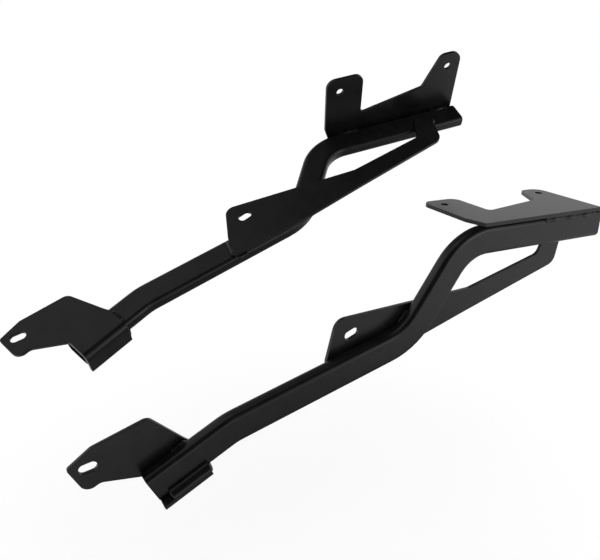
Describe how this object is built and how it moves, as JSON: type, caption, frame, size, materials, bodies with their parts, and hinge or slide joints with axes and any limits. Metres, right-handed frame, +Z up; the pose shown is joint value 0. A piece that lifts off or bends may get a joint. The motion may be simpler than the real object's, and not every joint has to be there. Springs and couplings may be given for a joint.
{
  "type": "motorcycle luggage rack",
  "caption": "Handed pair of welded side arms for a luggage rack: cranked rectangular tubes with a notched top plate, a triangular side gusset and a folded front bracket.",
  "frame": {"origin": "centre of the right arm's front bolt hole, on the top plate's underside, as that arm sits when fitted", "axes": "+X to the rear along the right arm's level run, +Y inboard from the right tube, +Z up out of the top plate"},
  "size_m": [0.612, 0.2653, 0.3719],
  "materials": {
    "tube_paint": "satin black powder coat",
    "plate_paint": "satin black powder coat",
    "weld_paint": "satin black powder coat over rippled weld",
    "plug": "matte black"
  },
  "bodies": {
    "root": {"right_tube": "tube_paint", "right_top_plate": "plate_paint", "right_side_plate": "plate_paint", "right_front_bracket": "plate_paint", "right_end_plug": "plug", "right_weld_top_outer": "weld_paint", "right_weld_top_front": "weld_paint", "right_weld_top_rear": "weld_paint", "right_weld_side_front": "weld_paint", "right_weld_side_foot": "weld_paint", "right_weld_side_neck": "weld_paint", "right_weld_side_rear": "weld_paint", "right_weld_bracket_rear": "weld_paint", "right_weld_bracket_neck": "weld_paint", "right_weld_bracket_lip": "weld_paint", "left_tube": "tube_paint", "left_top_plate": "plate_paint", "left_side_plate": "plate_paint", "left_front_bracket": "plate_paint", "left_end_plug": "plug", "left_weld_top_outer": "weld_paint", "left_weld_top_front": "weld_paint", "left_weld_top_rear": "weld_paint", "left_weld_side_front": "weld_paint", "left_weld_side_foot": "weld_paint", "left_weld_side_neck": "weld_paint", "left_weld_side_rear": "weld_paint", "left_weld_bracket_rear": "weld_paint", "left_weld_bracket_neck": "weld_paint", "left_weld_bracket_lip": "weld_paint"}
  },
  "joints": []
}
